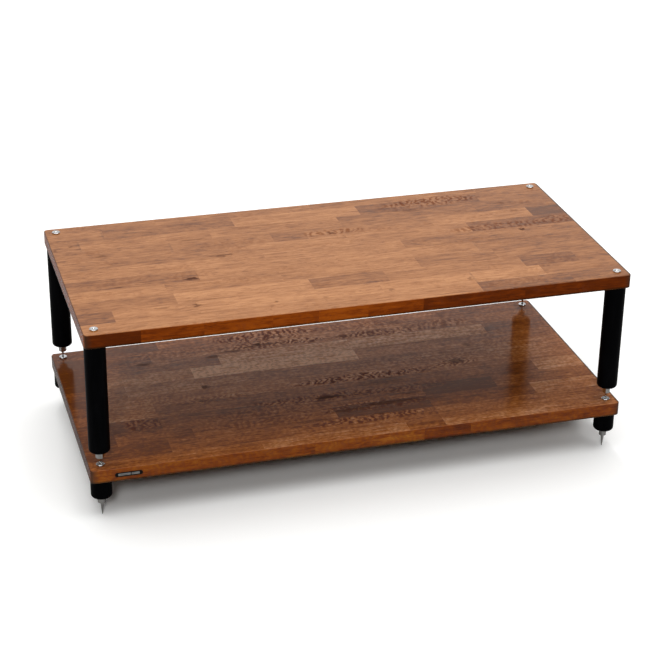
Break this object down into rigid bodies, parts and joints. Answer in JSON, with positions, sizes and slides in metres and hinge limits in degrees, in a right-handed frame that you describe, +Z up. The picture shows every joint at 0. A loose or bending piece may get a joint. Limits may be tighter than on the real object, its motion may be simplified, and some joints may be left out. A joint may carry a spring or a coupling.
{
  "type": "media shelf unit",
  "caption": "Low open media shelf of glued oak boards on black tubular columns and feet, each level standing on steel spikes in cups.",
  "frame": {"origin": "on the floor, in the middle between the tips of the four floor spikes", "axes": "+X along the boards' width, +Z up, -Y towards the front"},
  "size_m": [1, 0.4708, 0.3655],
  "materials": {
    "oak_board": "stained and lacquered oak staves, semi-gloss",
    "black_tube": "semi-gloss black coating on steel tube",
    "black_cap": "semi-gloss black coating",
    "plain_steel": "turned steel",
    "bright_steel": "bright plated steel",
    "name_plate": "satin black with a bare silvery field"
  },
  "bodies": {
    "lower_level": {"lower_shelf": "oak_board", "front_plate": "name_plate", "foot_cap_front_left": "black_cap", "foot_tube_front_left": "black_tube", "foot_plug_front_left": "plain_steel", "lower_cup_front_left": "bright_steel", "foot_cap_front_right": "black_cap", "foot_tube_front_right": "black_tube", "foot_plug_front_right": "plain_steel", "lower_cup_front_right": "bright_steel", "foot_cap_rear_left": "black_cap", "foot_tube_rear_left": "black_tube", "foot_plug_rear_left": "plain_steel", "lower_cup_rear_left": "bright_steel", "foot_cap_rear_right": "black_cap", "foot_tube_rear_right": "black_tube", "foot_plug_rear_right": "plain_steel", "lower_cup_rear_right": "bright_steel"},
    "upper_level": {"top_shelf": "oak_board", "column_cap_front_left": "black_cap", "column_tube_front_left": "black_tube", "column_plug_front_left": "plain_steel", "top_cup_front_left": "bright_steel", "column_cap_front_right": "black_cap", "column_tube_front_right": "black_tube", "column_plug_front_right": "plain_steel", "top_cup_front_right": "bright_steel", "column_cap_rear_left": "black_cap", "column_tube_rear_left": "black_tube", "column_plug_rear_left": "plain_steel", "top_cup_rear_left": "bright_steel", "column_cap_rear_right": "black_cap", "column_tube_rear_right": "black_tube", "column_plug_rear_right": "plain_steel", "top_cup_rear_right": "bright_steel"},
    "foot_spike_front_left": {"foot_spike_front_left": "bright_steel"},
    "foot_nut_front_left": {"foot_nut_front_left": "bright_steel"},
    "column_spike_front_left": {"column_spike_front_left": "bright_steel"},
    "column_nut_front_left": {"column_nut_front_left": "bright_steel"},
    "foot_spike_front_right": {"foot_spike_front_right": "bright_steel"},
    "foot_nut_front_right": {"foot_nut_front_right": "bright_steel"},
    "column_spike_front_right": {"column_spike_front_right": "bright_steel"},
    "column_nut_front_right": {"column_nut_front_right": "bright_steel"},
    "foot_spike_rear_left": {"foot_spike_rear_left": "bright_steel"},
    "foot_nut_rear_left": {"foot_nut_rear_left": "bright_steel"},
    "column_spike_rear_left": {"column_spike_rear_left": "bright_steel"},
    "column_nut_rear_left": {"column_nut_rear_left": "bright_steel"},
    "foot_spike_rear_right": {"foot_spike_rear_right": "bright_steel"},
    "foot_nut_rear_right": {"foot_nut_rear_right": "bright_steel"},
    "column_spike_rear_right": {"column_spike_rear_right": "bright_steel"},
    "column_nut_rear_right": {"column_nut_rear_right": "bright_steel"}
  },
  "joints": [
    {"name": "upper_level_lift", "type": "slide", "parent": "lower_level", "child": "upper_level", "axis": [0, 0, 1], "range_m": [0, 0.06]},
    {"name": "foot_spike_front_left_screw", "type": "slide", "parent": "lower_level", "child": "foot_spike_front_left", "axis": [0, 0, 1], "range_m": [-0.008, 0]},
    {"name": "foot_nut_front_left_turn", "type": "hinge", "parent": "lower_level", "child": "foot_nut_front_left", "pos_m": [-0.479, -0.214, 0.03], "axis": [0, 0, 1], "continuous": true},
    {"name": "column_spike_front_left_screw", "type": "slide", "parent": "upper_level", "child": "column_spike_front_left", "axis": [0, 0, 1], "range_m": [0, 0.006]},
    {"name": "column_nut_front_left_turn", "type": "hinge", "parent": "upper_level", "child": "column_nut_front_left", "pos_m": [-0.479, -0.214, 0.121], "axis": [0, 0, 1], "continuous": true},
    {"name": "foot_spike_front_right_screw", "type": "slide", "parent": "lower_level", "child": "foot_spike_front_right", "axis": [0, 0, 1], "range_m": [-0.008, 0]},
    {"name": "foot_nut_front_right_turn", "type": "hinge", "parent": "lower_level", "child": "foot_nut_front_right", "pos_m": [0.479, -0.214, 0.03], "axis": [0, 0, 1], "continuous": true},
    {"name": "column_spike_front_right_screw", "type": "slide", "parent": "upper_level", "child": "column_spike_front_right", "axis": [0, 0, 1], "range_m": [0, 0.006]},
    {"name": "column_nut_front_right_turn", "type": "hinge", "parent": "upper_level", "child": "column_nut_front_right", "pos_m": [0.479, -0.214, 0.121], "axis": [0, 0, 1], "continuous": true},
    {"name": "foot_spike_rear_left_screw", "type": "slide", "parent": "lower_level", "child": "foot_spike_rear_left", "axis": [0, 0, 1], "range_m": [-0.008, 0]},
    {"name": "foot_nut_rear_left_turn", "type": "hinge", "parent": "lower_level", "child": "foot_nut_rear_left", "pos_m": [-0.479, 0.214, 0.03], "axis": [0, 0, 1], "continuous": true},
    {"name": "column_spike_rear_left_screw", "type": "slide", "parent": "upper_level", "child": "column_spike_rear_left", "axis": [0, 0, 1], "range_m": [0, 0.006]},
    {"name": "column_nut_rear_left_turn", "type": "hinge", "parent": "upper_level", "child": "column_nut_rear_left", "pos_m": [-0.479, 0.214, 0.121], "axis": [0, 0, 1], "continuous": true},
    {"name": "foot_spike_rear_right_screw", "type": "slide", "parent": "lower_level", "child": "foot_spike_rear_right", "axis": [0, 0, 1], "range_m": [-0.008, 0]},
    {"name": "foot_nut_rear_right_turn", "type": "hinge", "parent": "lower_level", "child": "foot_nut_rear_right", "pos_m": [0.479, 0.214, 0.03], "axis": [0, 0, 1], "continuous": true},
    {"name": "column_spike_rear_right_screw", "type": "slide", "parent": "upper_level", "child": "column_spike_rear_right", "axis": [0, 0, 1], "range_m": [0, 0.006]},
    {"name": "column_nut_rear_right_turn", "type": "hinge", "parent": "upper_level", "child": "column_nut_rear_right", "pos_m": [0.479, 0.214, 0.121], "axis": [0, 0, 1], "continuous": true}
  ]
}
